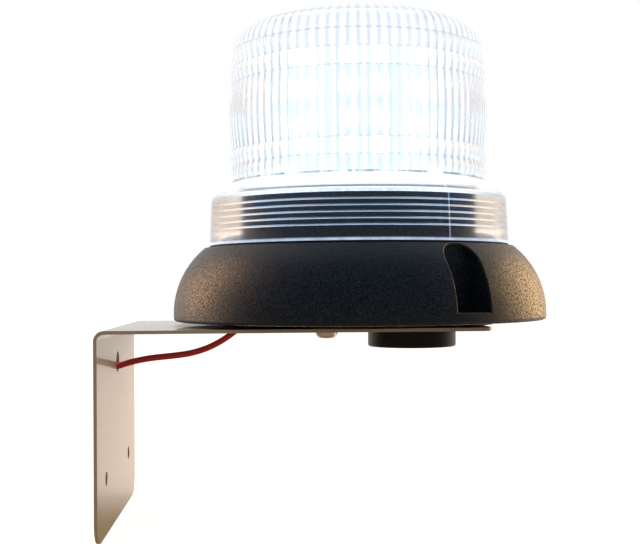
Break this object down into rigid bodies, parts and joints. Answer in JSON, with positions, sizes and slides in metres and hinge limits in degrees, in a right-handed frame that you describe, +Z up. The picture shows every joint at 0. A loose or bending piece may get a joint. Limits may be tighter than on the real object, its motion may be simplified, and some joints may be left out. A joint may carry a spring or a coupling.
{
  "type": "warning light with buzzer",
  "caption": "Wall-bracket warning light: clear fluted screw-on lens over a lamp drum, round black base, panel buzzer under the arm and a supply lead into the wall.",
  "frame": {"origin": "midway between the two wall holes, on the wall side of the bracket's leg", "axes": "+X from the wall along the arm to the light, +Z up along the light's axis, +Y across the bracket"},
  "size_m": [0.2172, 0.18, 0.2467],
  "materials": {
    "bracket_paint": "warm beige semi-gloss powder coat",
    "base_plastic": "black moulding with a fine spark-eroded grain",
    "black_rubber": "matt black rubber",
    "clear_lens": "clear moulding, fluted inside",
    "white_plastic": "white reflective moulding",
    "white_board": "white lamp board",
    "lamp": "lit cool-white lamp",
    "green_board": "green circuit board",
    "zinc_steel": "bright zinc",
    "brass": "plain brass",
    "capacitor_sleeve": "shrink sleeve",
    "dark_core": "ferrite",
    "chip_black": "moulded package",
    "terminal_plastic": "terminal moulding",
    "buzzer_plastic": "smooth satin black moulding",
    "red_wire": "dark red insulation",
    "black_wire": "black insulation"
  },
  "bodies": {
    "bracket_and_base": {"arm_screws": "zinc_steel", "base_floor": "base_plastic", "base_gasket": "black_rubber", "base_housing": "base_plastic", "board_screws": "zinc_steel", "board_spacers": "brass", "buzzer_body": "buzzer_plastic", "buzzer_case": "buzzer_plastic", "buzzer_leads": "black_wire", "buzzer_nut": "buzzer_plastic", "buzzer_pins": "zinc_steel", "buzzer_seal": "black_rubber", "buzzer_sounder": "brass", "capacitors": "capacitor_sleeve", "control_chips": "chip_black", "driver_board": "green_board", "drum_cap": "white_plastic", "drum_screws": "zinc_steel", "floor_screws": "zinc_steel", "inductor": "dark_core", "inner_lead": "black_wire", "lamp_board_1": "white_board", "lamp_board_2": "white_board", "lamp_board_3": "white_board", "lamp_board_4": "white_board", "lamp_board_5": "white_board", "lamp_board_6": "white_board", "lamp_board_7": "white_board", "lamp_board_8": "white_board", "lamp_drum": "white_plastic", "lamps_1": "lamp", "lamps_2": "lamp", "lamps_3": "lamp", "lamps_4": "lamp", "lamps_5": "lamp", "lamps_6": "lamp", "lamps_7": "lamp", "lamps_8": "lamp", "lead_core_black": "black_wire", "lead_core_red": "red_wire", "lead_ferrules": "zinc_steel", "lead_gland": "black_rubber", "plate_grommet": "black_rubber", "reflector_plate": "white_plastic", "terminal_block": "terminal_plastic", "threaded_inserts": "brass", "wall_bracket": "bracket_paint"},
    "seal_ring": {"lens_seal": "black_rubber"},
    "lens_cover": {"lens": "clear_lens"}
  },
  "joints": [
    {"name": "lens_rise", "type": "slide", "parent": "bracket_and_base", "child": "seal_ring", "axis": [0, 0, 1], "range_m": [0, 0.009]},
    {"name": "lens_turn", "type": "hinge", "parent": "seal_ring", "child": "lens_cover", "pos_m": [0.119, 0, 0.1055], "axis": [0, 0, 1], "range_deg": [0, 540]}
  ],
  "couplings": [
    {"joint": "lens_rise", "follows": "lens_turn", "m_per_rad": 0.0009549}
  ]
}
